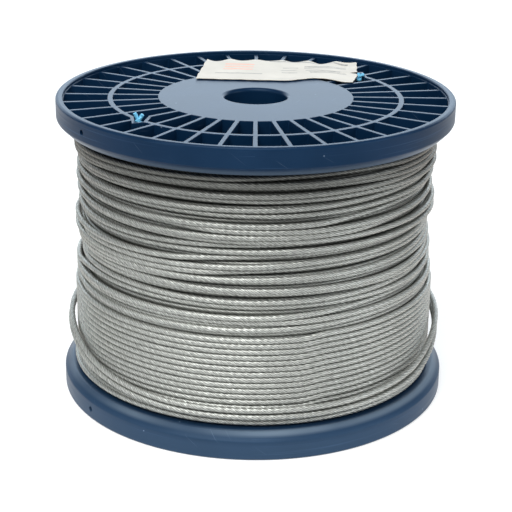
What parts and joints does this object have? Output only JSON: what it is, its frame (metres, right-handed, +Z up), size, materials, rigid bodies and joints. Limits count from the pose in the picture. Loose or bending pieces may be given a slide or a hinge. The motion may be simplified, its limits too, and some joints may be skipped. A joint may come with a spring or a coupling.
{
  "type": "reel of wire rope",
  "caption": "Moulded plastic reel standing on its flange, wound full with galvanised wire rope; ribbed flanges, central spindle bore, paper label and twine ties on top.",
  "frame": {"origin": "on the floor, under the middle of the bore", "axes": "+Z up along the reel's axis; -Y towards the picture's camera, +X to its right"},
  "size_m": [0.14, 0.14, 0.108],
  "materials": {
    "reel_plastic": "satin injection-moulded plastic, dark blue, lightly scuffed",
    "wire_rope": "hot-dip galvanised steel wire, dull silver",
    "label_paper": "matt white label paper with plain grey rules",
    "twine": "turquoise plastic twine, frayed at the cut ends"
  },
  "bodies": {
    "root": {"reel_half_upper": "reel_plastic", "reel_half_lower": "reel_plastic", "wire_rope_winding": "wire_rope", "paper_label": "label_paper", "twine_tie_left": "twine", "twine_tie_right": "twine"}
  },
  "joints": []
}
